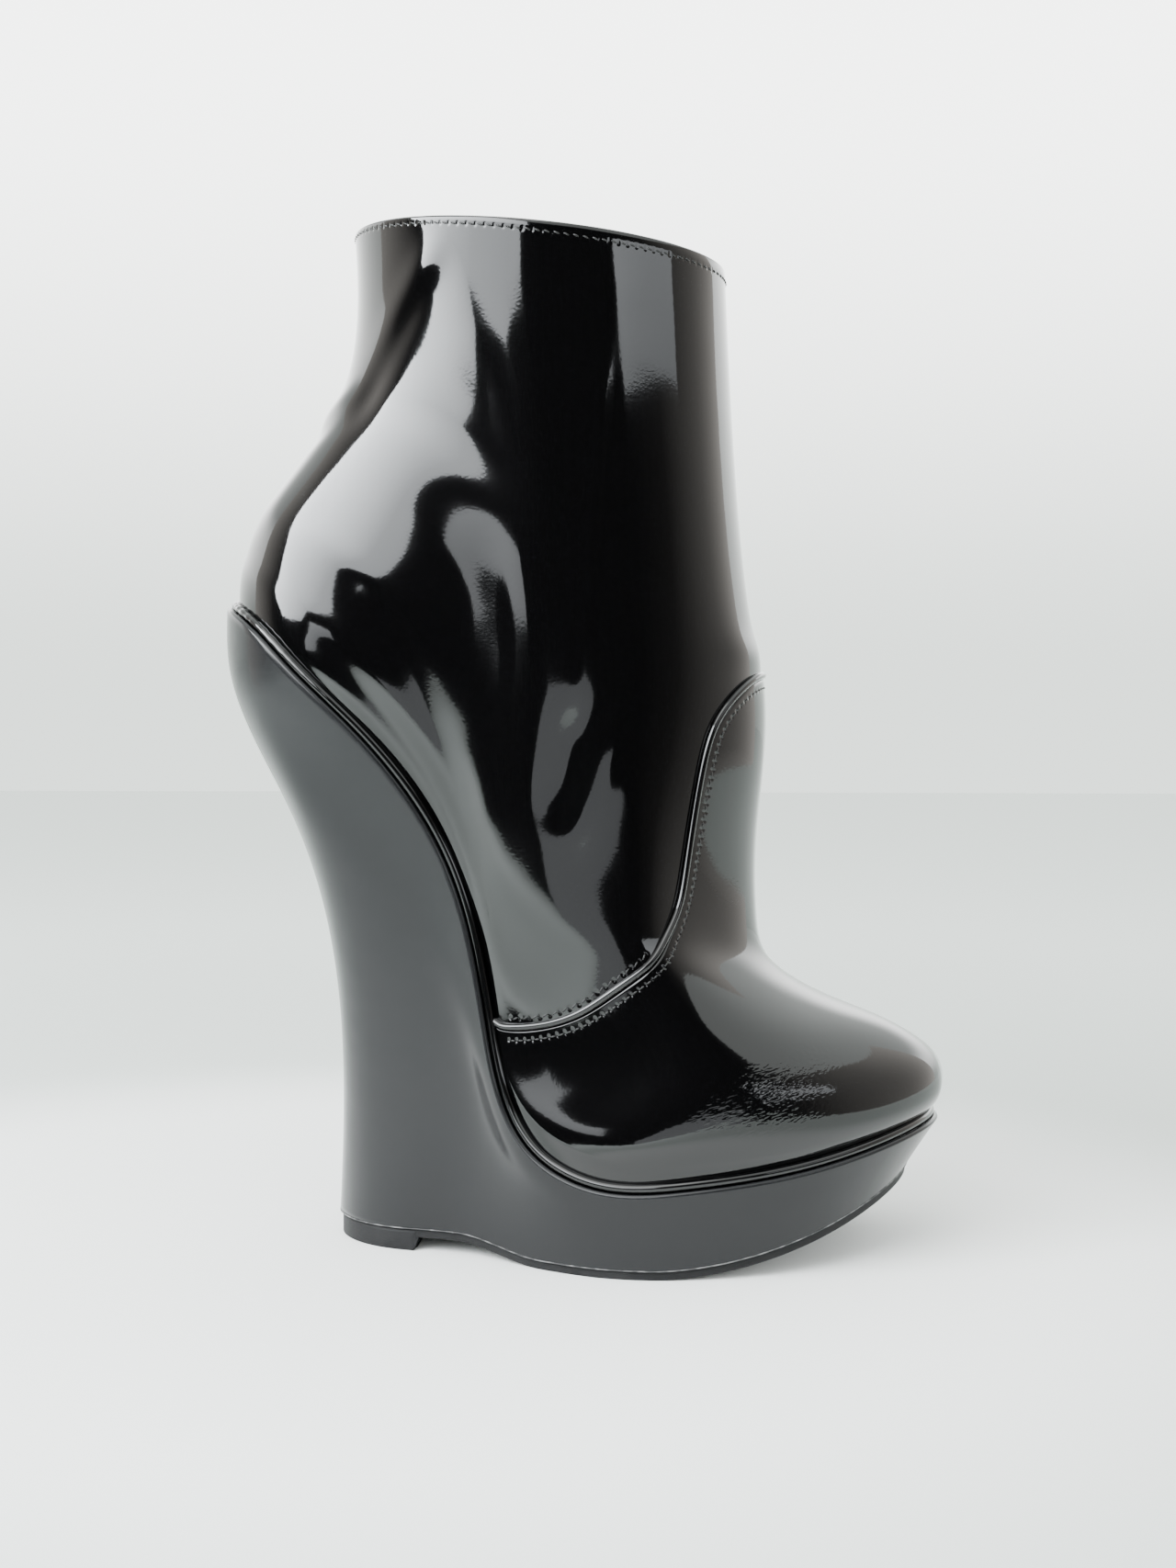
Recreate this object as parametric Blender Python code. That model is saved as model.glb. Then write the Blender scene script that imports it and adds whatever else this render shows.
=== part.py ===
# Right wedge ankle boot in patent leather: upper, two cords of piping, insole, covered wedge and outsole.
# Metres. +X to the toe, +Y to the inner side, +Z up. The origin is the middle of the heel on the floor.
import bpy
import numpy as np

# Heights above the floor
HEEL_SEAT = 0.1613
PLATFORM = 0.0210
TOE_RISE = 0.0100
COLLAR_HEIGHT = 0.2577
COLLAR_DROP = 0.0097

# Lengths along the boot
FOOTBED_LENGTH = 0.1756
SEAT_OVERHANG = 0.0266
HEEL_FOOT = 0.0224
COLLAR_LEAN = 0.0306
COLLAR_LENGTH = 0.0954
TOE_UNDERCUT = 0.0030

# Widths, the footbed's at the ball and the collar's
BALL_HALF = 0.0445
COLLAR_HALF = 0.0385
SWING = 0.0060

# Walls, cords and steps
WALL = 0.0018
VAMP_STEP = 0.0007
INSOLE_THICK = 0.0020
WELT_RADIUS = 0.0012
VAMP_RADIUS = 0.0009
LIP_ROUND = 0.0008
GAP = 0.0003

# Outsole: its rubber, the heel's step, the flat spot under the ball and the toe's spring
OUTSOLE_THICK = 0.0022
SHANK_LIFT = 0.0034
STEP_SLOPE = 0.0014
FLAT_START = 0.0450
FLAT_END = 0.0720
TOE_SPRING = 0.0175
SOLE_INSET = 0.0007

# Mesh density: columns around, rows below and above the vamp's edge, rows down the wedge
COLUMNS = 72
ROWS_BELOW = 12
ROWS_ABOVE = 12
WEDGE_ROWS = 9

SEAT_X = -(HEEL_FOOT / 2 + SEAT_OVERHANG)
TOE_X = SEAT_X + FOOTBED_LENGTH
FOOTBED_CURVE = 0.2580 / 0.1756 * FOOTBED_LENGTH

# Footbed from heel to toe. f: share of its curve, along: share of its length in plan, seat and toe: shares
# of the heel's and toe's rise over the ball, half: fullness of its outline in ball half-widths,
# foot: share of the way from the heel's foot to the toe that the wedge's lower edge has at that station,
# low: fullness of the lower edge, swing: share of the curve to the inner side
FOOTBED = [
    # name          f     along   seat    toe    half   foot    low    swing
    ("back",      0.00,  0.000,  1.000,  0.00,  1.30,  0.000,  0.34,  0.00),
    ("seat back", 0.05,  0.052,  0.959,  0.00,  1.18,  0.008,  0.38,  0.00),
    ("seat",      0.10,  0.105,  0.895,  0.00,  1.06,  0.020,  0.42,  0.00),
    ("seat end",  0.20,  0.210,  0.768,  0.00,  0.84,  0.055,  0.49,  -0.05),
    ("shank",     0.30,  0.305,  0.613,  0.00,  0.71,  0.105,  0.53,  -0.15),
    ("arch",      0.40,  0.362,  0.442,  0.00,  0.67,  0.165,  0.54,  -0.25),
    ("drop",      0.50,  0.393,  0.260,  0.00,  0.71,  0.245,  0.59,  -0.37),
    ("drop foot", 0.56,  0.415,  0.151,  0.00,  0.79,  0.310,  0.70,  -0.42),
    ("tread back", 0.62, 0.463,  0.056,  0.00,  0.92,  0.390,  0.87,  -0.42),
    ("ball",      0.68,  0.547,  0.005,  0.00,  1.06,  0.490,  1.06,  -0.38),
    ("ball front", 0.76, 0.668,  0.000,  0.06,  1.20,  0.635,  1.19,  -0.20),
    ("toe",       0.88,  0.843,  0.000,  0.45,  1.31,  0.838,  1.28,  0.25),
    ("tip",       1.00,  1.000,  0.000,  1.00,  1.24,  1.000,  1.22,  0.60),
]

# Upper from the footbed's edge to the collar. v: row, back and front: where the row meets the middle line,
# as shares of the way from seat to collar and from toe to collar, lead: forward shift of its side points,
# then the fullness of the row at seven stations from back to front, in half-widths that blend from ball
# to collar, and the share of the swing
UPPER_STATIONS = [0.0, 0.1, 0.35, 0.5, 0.7, 0.9, 1.0]
UPPER = [
    # name         v    back_x back_z front_x front_z lead   back  heel  waist mid   ball  toe   tip   swing
    ("feather",  0.000, 0.000, 0.000, 0.000,  0.000,  0.000, 1.30, 1.06, 0.69, 0.71, 1.10, 1.31, 1.24, 1.0),
    ("rand",     0.020, 0.000, 0.029, -0.030, 0.017,  0.015, 1.30, 1.06, 0.69, 0.72, 1.11, 1.31, 1.23, 1.0),
    ("overhang", 0.050, 0.003, 0.062, -0.115, 0.031,  0.040, 1.29, 1.07, 0.70, 0.74, 1.14, 1.31, 1.20, 1.0),
    ("toe cap",  0.085, 0.020, 0.106, -0.108, 0.062,  0.070, 1.28, 1.08, 0.71, 0.77, 1.13, 1.26, 1.11, 1.0),
    ("toe top",  0.130, 0.059, 0.147, 0.035,  0.095,  0.100, 1.26, 1.09, 0.73, 0.80, 1.09, 1.16, 1.00, 0.9),
    ("toe box",  0.205, 0.118, 0.204, 0.320,  0.125,  0.140, 1.24, 1.09, 0.76, 0.84, 1.02, 1.02, 0.88, 0.8),
    ("crease",   0.285, 0.212, 0.267, 0.620,  0.156,  0.160, 1.22, 1.09, 0.80, 0.87, 0.96, 0.89, 0.80, 0.6),
    ("flex",     0.330, 0.278, 0.298, 0.782,  0.186,  0.160, 1.20, 1.09, 0.82, 0.88, 0.94, 0.85, 0.79, 0.5),
    ("instep",   0.385, 0.376, 0.337, 0.843,  0.235,  0.155, 1.19, 1.08, 0.85, 0.89, 0.92, 0.84, 0.80, 0.4),
    ("ankle",    0.500, 0.598, 0.429, 0.842,  0.345,  0.130, 1.15, 1.06, 0.90, 0.92, 0.90, 0.86, 0.84, 0.2),
    ("vamp top", 0.650, 0.824, 0.550, 0.806,  0.508,  0.080, 1.09, 1.03, 0.95, 0.95, 0.92, 0.90, 0.88, 0.1),
    ("cuff",     0.720, 0.925, 0.619, 0.868,  0.593,  0.060, 1.06, 1.01, 0.96, 0.96, 0.93, 0.92, 0.91, 0.0),
    ("shaft",    0.820, 1.006, 0.750, 0.938,  0.740,  0.030, 1.03, 1.00, 0.98, 0.97, 0.95, 0.95, 0.94, 0.0),
    ("collar",   1.000, 1.000, 1.000, 1.000,  1.000,  0.000, 1.00, 1.00, 1.00, 1.00, 1.00, 1.00, 1.00, 0.0),
]

# Edge of the vamp from the sole to the middle of the instep. s: share of its line, f: along the upper's row,
# v: row
VAMP_EDGE = [
    # name         s     f      v
    ("sole",      0.00, 0.497, 0.000),
    ("side low",  0.10, 0.511, 0.112),
    ("side",      0.20, 0.563, 0.217),
    ("side front", 0.33, 0.672, 0.292),
    ("turn",      0.44, 0.762, 0.350),
    ("rise",      0.55, 0.818, 0.412),
    ("straight",  0.68, 0.850, 0.512),
    ("shoulder",  0.80, 0.886, 0.590),
    ("top",       0.88, 0.938, 0.629),
    ("instep",    1.00, 1.000, 0.659),
]

# Back of the wedge from the seat down: u down the side, in: how far it is hollowed in, as shares of the
# seat's overhang
WEDGE_BACK = [
    # name     u      in
    ("lip",   0.000, 0.000),
    ("under", 0.100, -0.090),
    ("hollow", 0.330, 0.250),
    ("deep",  0.620, 0.400),
    ("foot",  0.880, 0.160),
    ("end",   1.000, 0.000),
]


def spline(stations, values, at):
    """Natural cubic curve through the values at the stations, which runs straight on past both ends."""
    s = np.asarray(stations, float)
    y = np.asarray(values, float).reshape(len(s), -1)
    at = np.asarray(at, float)
    h = np.diff(s)
    a = np.eye(len(s))
    b = np.zeros_like(y)
    for i in range(1, len(s) - 1):
        a[i, i - 1:i + 2] = h[i - 1], 2 * (h[i - 1] + h[i]), h[i]
        b[i] = 6 * ((y[i + 1] - y[i]) / h[i] - (y[i] - y[i - 1]) / h[i - 1])
    m = np.linalg.solve(a, b)
    q = np.clip(at, s[0], s[-1])
    k = np.clip(np.searchsorted(s, q, side="right") - 1, 0, len(s) - 2)
    w = h[k][..., None]
    p = ((q - s[k])[..., None]) / w
    r = 1 - p
    bend = w ** 2 / 6
    out = r * y[k] + p * y[k + 1] + bend * ((r ** 3 - r) * m[k] + (p ** 3 - p) * m[k + 1])
    slope = (y[k + 1] - y[k]) / w + w / 6 * ((1 - 3 * r ** 2) * m[k] + (3 * p ** 2 - 1) * m[k + 1])
    return out + slope * (at - q)[..., None]


def table(rows, *columns):
    """The numbers of some columns of a table whose rows start with a name."""
    return np.array([[row[1 + c] for c in columns] for row in rows])


def footbed(f):
    """Side view of the footbed: x, z at share f of its curve."""
    along, seat, toe = np.moveaxis(spline(table(FOOTBED, 0)[:, 0], table(FOOTBED, 1, 2, 3), f), -1, 0)
    x = SEAT_X + along * FOOTBED_LENGTH
    z = PLATFORM + seat * (HEEL_SEAT - PLATFORM) + toe * TOE_RISE
    return np.stack([x, z], -1)


def footbed_normal(f):
    """Unit direction square to the footbed in side view, up into the boot."""
    d = footbed(np.asarray(f) + 0.002) - footbed(np.asarray(f) - 0.002)
    n = np.stack([-d[..., 1], d[..., 0]], -1)
    return n / np.linalg.norm(n, axis=-1, keepdims=True)


def share(t):
    """Share of the way from back to front at angle t around the boot."""
    return (1 - np.cos(t)) / 2


def edge_plan(t):
    """Outline of the footbed laid flat: distance along its curve and sideways."""
    f = share(t)
    half, swing = np.moveaxis(spline(table(FOOTBED, 0)[:, 0], table(FOOTBED, 4, 7), f), -1, 0)
    return np.stack([f * FOOTBED_CURVE, -np.sin(t) * half * BALL_HALF + swing * SWING], -1)


def edge(t, out, up):
    """Point of the footbed's outline, moved outward in its face and up from it."""
    p = edge_plan(t)
    d = edge_plan(t + 0.001) - edge_plan(t - 0.001)
    n = np.stack([d[..., 1], -d[..., 0]], -1)
    n = -n / np.linalg.norm(n, axis=-1, keepdims=True)
    p = p - n * np.asarray(out)[..., None]
    f = p[..., 0] / FOOTBED_CURVE
    side = footbed(f) + footbed_normal(f) * np.asarray(up)[..., None]
    return np.stack([side[..., 0], p[..., 1], side[..., 1]], -1)


def upper_skin(t, v):
    """Outer face of the upper at angle t and row v: the side view is blended from its four edges (footbed,
    collar, back line and front line), the half-width is an ellipse whose fullness follows the table."""
    t, v = np.broadcast_arrays(t, v)
    f = share(t)
    rows = spline(table(UPPER, 0)[:, 0], table(UPPER, *range(1, 14)), v)
    back_x, back_z, front_x, front_z, lead = np.moveaxis(rows[..., :5], -1, 0)
    g = f + lead * np.sin(np.pi * f) ** 2
    collar_back = np.array([SEAT_X + COLLAR_LEAN, COLLAR_HEIGHT])
    collar_front = collar_back + np.array([COLLAR_LENGTH, -COLLAR_DROP])
    seat = footbed(0.0)
    toe = footbed(1.0)
    back = seat + (collar_back - seat) * np.stack([back_x, back_z], -1)
    front = toe + (collar_front - toe) * np.stack([front_x, front_z], -1)
    g = g[..., None]
    w = v[..., None]
    low = footbed(g[..., 0]) + footbed_normal(g[..., 0]) * GAP
    top = collar_back + (collar_front - collar_back) * g
    b = g ** 3
    corners = (1 - w) * ((1 - b) * seat + b * toe) + w * ((1 - b) * collar_back + b * collar_front)
    side = (1 - w) * low + w * top + (1 - b) * back + b * front - corners
    station = spline(UPPER_STATIONS, np.eye(7), f)
    full = np.sum(rows[..., 5:12] * station, -1) * (BALL_HALF + (COLLAR_HALF - BALL_HALF) * v)
    half = spline(table(FOOTBED, 0)[:, 0], table(FOOTBED, 4), f)[..., 0]
    first = np.sum(np.array(UPPER[0][7:14]) * station, -1)
    full = full + (half - first) * BALL_HALF * (1 - v) ** 6
    middle = spline(table(FOOTBED, 0)[:, 0], table(FOOTBED, 7), f)[..., 0] * SWING * rows[..., 12]
    return np.stack([side[..., 0], -np.sin(t) * full + middle, side[..., 1]], -1)


def skin_normal(t, v):
    """Unit normal of the upper's outer face, outward."""
    along = upper_skin(t + 0.004, v) - upper_skin(t - 0.004, v)
    rise = upper_skin(t, v + 0.002) - upper_skin(t, v - 0.002)
    n = np.cross(along, rise)
    return n / np.linalg.norm(n, axis=-1, keepdims=True)


def vamp_line(s):
    """Vamp's edge on the lateral half: share f along the row, and the row."""
    return spline(table(VAMP_EDGE, 0)[:, 0], table(VAMP_EDGE, 1, 2), s)


def vamp_edge(t):
    """Row of the vamp's edge at angle t, below zero behind its ends."""
    line = vamp_line(np.linspace(0, 1, 400))
    return np.interp(share(t), line[:, 0], line[:, 1], left=-0.1)


def column_angles():
    """Angles of the columns around the boot, closer together along the steep arch than at heel and toe."""
    t = np.arange(COLUMNS) * 2 * np.pi / COLUMNS
    return t + 0.2 * np.sin(2 * t)


def add_mesh(name, points, faces, colour, roughness, coat=0.0):
    """Make one closed body with its own material."""
    mesh = bpy.data.meshes.new(name)
    mesh.from_pydata([tuple(p) for p in points], [], faces)
    mesh.update()
    mesh.polygons.foreach_set("use_smooth", [True] * len(mesh.polygons))
    material = bpy.data.materials.new(name)
    material.use_nodes = True
    shader = material.node_tree.nodes["Principled BSDF"]
    shader.inputs["Base Color"].default_value = (*colour, 1.0)
    shader.inputs["Roughness"].default_value = roughness
    shader.inputs["Metallic"].default_value = 0.0
    shader.inputs["Coat Weight"].default_value = coat
    mesh.materials.append(material)
    obj = bpy.data.objects.new(name, mesh)
    bpy.context.scene.collection.objects.link(obj)
    return obj


def band(first, second, count, closed=True):
    """Quads between two rows of points, given by the index of each row's first point."""
    last = count if closed else count - 1
    return [(first + i, first + (i + 1) % count, second + (i + 1) % count, second + i) for i in range(last)]


def rungs(start, count, up):
    """Faces across a loop, from each point to the one opposite: triangles at the ends, quads between."""
    half = count // 2
    faces = [(start, start + count - 1, start + 1)]
    for i in range(1, half - 1):
        faces.append((start + i, start + count - i, start + count - i - 1, start + i + 1))
    faces.append((start + half - 1, start + half + 1, start + half))
    return [face[::-1] for face in faces] if up else faces


def stack_body(rows):
    """Points and side faces of rows of equal length that are listed from the bottom up."""
    count = len(rows[0])
    faces = []
    for k in range(len(rows) - 1):
        faces += band(k * count, (k + 1) * count, count)
    return np.concatenate(rows), faces


def upper():
    """Shaft and vamp: one hollow wall, with the vamp proud of the shaft below its edge."""
    t = column_angles()
    behind = np.clip((0.46 - share(t)) / 0.30, 0, 1)
    mark = np.maximum(vamp_edge(t), 0.14 + 0.18 * behind ** 2 * (3 - 2 * behind))
    ramp = 0.005
    low = [0.0, 0.02, 0.045, 0.075]
    below = np.linspace(0, 1, ROWS_BELOW - 3)[1:] ** 1.2
    above = np.linspace(0, 1, ROWS_ABOVE + 1)
    rows = [np.full(COLUMNS, v) for v in low]
    rows += [low[-1] + (mark - ramp - low[-1]) * b for b in below]
    rows += [mark + (1 - mark) * a for a in above]
    outer = []
    inner = []
    for k, v in enumerate(rows):
        p = upper_skin(t, v)
        n = skin_normal(t, v)
        proud = np.clip((vamp_edge(t) - v) / ramp, 0, 1) * np.clip(v / 0.03, 0, 1)
        outer.append(p + n * (VAMP_STEP * proud)[:, None])
        inner.append(p - n * WALL)
    inner[0] = edge(t, -WALL, GAP)
    outer[0] = edge(t, 0.0, GAP)
    points, faces = stack_body(inner + outer[::-1])
    count = COLUMNS
    faces += band((2 * len(rows) - 1) * count, 0, count)
    faces = [face[::-1] for face in faces]
    return add_mesh("upper", points, faces, (0.010, 0.010, 0.011), 0.06, 1.0)


def tube(centres, normals, sideways, radius, sides, closed):
    """Round cord along a line: rings of points from two directions square to it."""
    a = np.arange(sides) * 2 * np.pi / sides + np.pi / sides
    rings = [c + radius * (np.cos(a)[:, None] * n + np.sin(a)[:, None] * s)
             for c, n, s in zip(centres, normals, sideways)]
    points = np.concatenate(rings)
    faces = []
    count = len(rings)
    for k in range(count if closed else count - 1):
        faces += band(k * sides, ((k + 1) % count) * sides, sides)
    if not closed:
        faces.append(tuple(range(sides))[::-1])
        faces.append(tuple(range((count - 1) * sides, count * sides)))
    return points, faces


def welt_out(t):
    """How far out from the footbed's outline the welt's cord lies, so that it clears the leaning upper."""
    base = edge(t, 0.0, 0.0)
    out = edge(t, 0.001, 0.0) - base
    out /= np.linalg.norm(out, axis=-1, keepdims=True)
    up = edge(t, 0.0, 0.001) - base
    up /= np.linalg.norm(up, axis=-1, keepdims=True)
    reach = WELT_RADIUS + 3 * GAP
    need = np.full(np.shape(t), reach)
    for v in np.linspace(0.0, 0.08, 41):
        d = upper_skin(t, np.full(np.shape(t), v)) - base
        rise = np.sum(d * up, -1) - (WELT_RADIUS + GAP)
        beside = np.clip(reach ** 2 - rise ** 2, 0, None)
        need = np.where(beside > 0, np.maximum(need, np.sum(d * out, -1) + np.sqrt(beside)), need)
    return need


def welt_piping():
    """Covered cord in the corner between upper and wedge, once around the boot."""
    t = column_angles()
    out = welt_out(t)
    centre = edge(t, out, GAP + WELT_RADIUS)
    up = edge(t, out, GAP + 2 * WELT_RADIUS) - centre
    up /= np.linalg.norm(up, axis=1, keepdims=True)
    along = np.roll(centre, -1, 0) - np.roll(centre, 1, 0)
    along /= np.linalg.norm(along, axis=1, keepdims=True)
    side = np.cross(along, up)
    points, faces = tube(centre, up, side, WELT_RADIUS, 6, True)
    return add_mesh("welt_piping", points, faces, (0.010, 0.010, 0.011), 0.10, 1.0)


def vamp_piping():
    """Covered cord against the vamp's edge, from the welt on one side over the instep to the other."""
    line = vamp_line(np.linspace(0.075, 1, 24))
    t = np.arccos(np.clip(1 - 2 * line[:, 0], -1, 1))
    t = np.concatenate([t, 2 * np.pi - t[-2::-1]])
    v = np.concatenate([line[:, 1], line[-2::-1, 1]])
    n = skin_normal(t, v)
    foot = upper_skin(t, v)
    along = np.gradient(foot, axis=0)
    along /= np.linalg.norm(along, axis=1, keepdims=True)
    side = np.cross(n, along)
    side /= np.linalg.norm(side, axis=1, keepdims=True)
    centre = foot + n * (VAMP_RADIUS + 3 * GAP) + side * (VAMP_RADIUS + 3 * GAP)
    points, faces = tube(centre, n, -side, VAMP_RADIUS, 6, False)
    return add_mesh("vamp_piping", points, faces, (0.010, 0.010, 0.011), 0.10, 1.0)


def insole():
    """Sock-covered board on the footbed, inside the upper's lower edge."""
    t = column_angles()
    inset = -(WALL + 2 * GAP)
    rows = [edge(t, inset, GAP), edge(t, inset, GAP + INSOLE_THICK)]
    points, faces = stack_body(rows)
    faces = faces + rungs(0, COLUMNS, False) + rungs(COLUMNS, COLUMNS, True)
    return add_mesh("insole", points, faces, (0.018, 0.017, 0.017), 0.55)


def sole_height(x):
    """Height of the outsole's lower face: lifted behind the flat spot, sprung towards the toe."""
    toe_end = TOE_X - TOE_UNDERCUT
    shank = np.clip((FLAT_START - x) / (FLAT_START - HEEL_FOOT), 0, 1)
    spring = np.clip((x - FLAT_END) / (toe_end - FLAT_END), 0, None)
    return SHANK_LIFT * shank ** 2 * (3 - 2 * shank) + TOE_SPRING * spring ** 1.8


def wedge_foot(t, inset):
    """Lower edge of the wedge in plan, moved inward: x, y."""
    def outline(a):
        f = share(a)
        foot, low, swing = np.moveaxis(spline(table(FOOTBED, 0)[:, 0], table(FOOTBED, 5, 6, 7), f), -1, 0)
        back = -HEEL_FOOT / 2 - SOLE_INSET
        x = back + foot * (TOE_X - TOE_UNDERCUT + SOLE_INSET - back)
        return np.stack([x, -np.sin(a) * low * BALL_HALF + swing * SWING], -1)
    p = outline(t)
    d = outline(t + 0.001) - outline(t - 0.001)
    n = np.stack([-d[..., 1], d[..., 0]], -1)
    n /= np.linalg.norm(n, axis=-1, keepdims=True)
    return p + n * inset


def wedge_skin(t, u):
    """Side of the wedge at angle t, from the lip at u 0 to the lower edge at u 1."""
    t, u = np.broadcast_arrays(t, u)
    lip = edge(t, welt_out(t) + WELT_RADIUS + GAP, -LIP_ROUND)
    plan = wedge_foot(t, 0.0)
    foot = np.concatenate([plan, (sole_height(plan[..., :1]) + OUTSOLE_THICK + GAP)], -1)
    w = u[..., None]
    p = lip * (1 - w) + foot * w
    hollow = spline(table(WEDGE_BACK, 0)[:, 0], table(WEDGE_BACK, 1), u)[..., 0] * SEAT_OVERHANG
    p[..., 0] += hollow * (1 - share(t)) ** 2.5
    return p


def wedge_platform():
    """Wedge heel and platform in one covered block under the footbed."""
    t = column_angles()
    rows = [wedge_skin(t, u) for u in np.linspace(1, 0, WEDGE_ROWS)]
    rows.append(edge(t, welt_out(t) + WELT_RADIUS + GAP - LIP_ROUND, 0.0))
    points, faces = stack_body(rows)
    top = (len(rows) - 1) * COLUMNS
    faces = faces + rungs(0, COLUMNS, False) + rungs(top, COLUMNS, True)
    return add_mesh("wedge_platform", points, faces, (0.010, 0.010, 0.011), 0.08, 1.0)


def outsole():
    """Rubber under the wedge, with the heel's step down to the floor."""
    t = column_angles()
    top = wedge_foot(t, SOLE_INSET)
    top = np.concatenate([top, sole_height(top[:, :1]) + OUTSOLE_THICK], 1)
    low = wedge_foot(t, SOLE_INSET)
    x = low[:, 0].copy()
    half = COLUMNS // 2
    last = int(np.argmin(np.abs(x[:half] - HEEL_FOOT / 2)))
    for i in (last, COLUMNS - last):
        x[i] = HEEL_FOOT / 2
    for i in (last + 1, COLUMNS - last - 1):
        x[i] = HEEL_FOOT / 2 + STEP_SLOPE
    z = sole_height(x)
    heel = np.minimum(np.arange(COLUMNS), COLUMNS - np.arange(COLUMNS)) <= last
    z[heel] = 0.0
    low = np.stack([x, low[:, 1], z], -1)
    points, faces = stack_body([low, top])
    faces = faces + rungs(0, COLUMNS, False) + rungs(COLUMNS, COLUMNS, True)
    return add_mesh("outsole", points, faces, (0.022, 0.022, 0.023), 0.55)


for old in list(bpy.data.objects):
    bpy.data.objects.remove(old, do_unlink=True)

outsole()
wedge_platform()
insole()
upper()
welt_piping()
vamp_piping()
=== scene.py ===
import bpy
import numpy as np
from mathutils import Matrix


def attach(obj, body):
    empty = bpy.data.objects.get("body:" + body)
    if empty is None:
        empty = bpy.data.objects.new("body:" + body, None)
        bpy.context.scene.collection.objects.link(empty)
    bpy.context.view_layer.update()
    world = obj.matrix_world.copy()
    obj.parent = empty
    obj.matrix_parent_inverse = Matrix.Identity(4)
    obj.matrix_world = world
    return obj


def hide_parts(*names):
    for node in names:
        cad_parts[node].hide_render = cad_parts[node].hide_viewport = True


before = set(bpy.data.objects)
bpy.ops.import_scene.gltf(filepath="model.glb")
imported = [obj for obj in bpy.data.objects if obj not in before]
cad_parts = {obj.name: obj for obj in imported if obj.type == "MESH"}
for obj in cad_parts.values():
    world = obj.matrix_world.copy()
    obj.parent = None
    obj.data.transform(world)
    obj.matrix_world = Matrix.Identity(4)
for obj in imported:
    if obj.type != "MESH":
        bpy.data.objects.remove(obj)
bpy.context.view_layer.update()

# Camera: held level with the ankle, half a metre away and turned a little towards the heel, so that the toe
# comes slightly nearer. Distances in metres, angles in degrees.
camera_turn = 5.0
camera_dip = 1.4
camera_data = bpy.data.cameras.new("camera")
camera_data.lens = 46.06
camera = bpy.data.objects.new("camera", camera_data)
camera.location = (0.0983, -0.5180, 0.1292)
camera.rotation_euler = (np.radians(90 - camera_dip), 0.0, np.radians(camera_turn))
bpy.context.scene.collection.objects.link(camera)
bpy.context.scene.camera = camera


# Insole: a thin board covered in black lining leather, glued to the curved footbed inside the upper. It is
# slightly rounded along its edge, where the lining is turned under.
heel_seat = 0.1613
platform = 0.0210
toe_rise = 0.0100
footbed_length = 0.1756
seat_overhang = 0.0266
heel_foot = 0.0224
ball_half = 0.0445
swing = 0.0060
wall = 0.0018
gap = 0.0003
insole_thick = 0.0020
seat_x = -(heel_foot / 2 + seat_overhang)
toe_x = seat_x + footbed_length
footbed_curve = 0.2580

# f: share of the footbed's curve from heel to toe, along: share of its length in plan, seat and toe: shares
# of the heel's and toe's rise, half: half-widths, foot, low: the wedge's lower edge, swing: to the inner side
footbed_rows = np.array([
    # f     along  seat   toe   half  foot   low   swing
    (0.00, 0.000, 1.000, 0.00, 1.30, 0.000, 0.34, 0.00),
    (0.05, 0.052, 0.959, 0.00, 1.18, 0.008, 0.38, 0.00),
    (0.10, 0.105, 0.895, 0.00, 1.06, 0.020, 0.42, 0.00),
    (0.20, 0.210, 0.768, 0.00, 0.84, 0.055, 0.49, -0.05),
    (0.30, 0.305, 0.613, 0.00, 0.71, 0.105, 0.53, -0.15),
    (0.40, 0.362, 0.442, 0.00, 0.67, 0.165, 0.54, -0.25),
    (0.50, 0.393, 0.260, 0.00, 0.71, 0.245, 0.59, -0.37),
    (0.56, 0.415, 0.151, 0.00, 0.79, 0.310, 0.70, -0.42),
    (0.62, 0.463, 0.056, 0.00, 0.92, 0.390, 0.87, -0.42),
    (0.68, 0.547, 0.005, 0.00, 1.06, 0.490, 1.06, -0.38),
    (0.76, 0.668, 0.000, 0.06, 1.20, 0.635, 1.19, -0.20),
    (0.88, 0.843, 0.000, 0.45, 1.31, 0.838, 1.28, 0.25),
    (1.00, 1.000, 0.000, 1.00, 1.24, 1.000, 1.22, 0.60),
])


def spline(stations, values, at):
    """Natural cubic curve: third-degree pieces through the values at the stations, with equal slope and bend
    where they meet, no bend at both ends, and a straight run past them."""
    s = np.asarray(stations, float)
    y = np.asarray(values, float).reshape(len(s), -1)
    at = np.asarray(at, float)
    h = np.diff(s)
    a = np.eye(len(s))
    b = np.zeros_like(y)
    for i in range(1, len(s) - 1):
        a[i, i - 1:i + 2] = h[i - 1], 2 * (h[i - 1] + h[i]), h[i]
        b[i] = 6 * ((y[i + 1] - y[i]) / h[i] - (y[i] - y[i - 1]) / h[i - 1])
    m = np.linalg.solve(a, b)
    q = np.clip(at, s[0], s[-1])
    k = np.clip(np.searchsorted(s, q, side="right") - 1, 0, len(s) - 2)
    w = h[k][..., None]
    p = ((q - s[k])[..., None]) / w
    r = 1 - p
    out = r * y[k] + p * y[k + 1] + w ** 2 / 6 * ((r ** 3 - r) * m[k] + (p ** 3 - p) * m[k + 1])
    slope = (y[k + 1] - y[k]) / w + w / 6 * ((1 - 3 * r ** 2) * m[k] + (3 * p ** 2 - 1) * m[k + 1])
    return out + slope * (at - q)[..., None]


def footbed(f):
    """Side view of the footbed: x runs along its length and z falls from the seat to the ball and rises again
    to the toe, both by the table's shares."""
    along, seat, toe = np.moveaxis(spline(footbed_rows[:, 0], footbed_rows[:, 1:4], f), -1, 0)
    return np.stack([seat_x + along * footbed_length,
                     platform + seat * (heel_seat - platform) + toe * toe_rise], -1)


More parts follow.
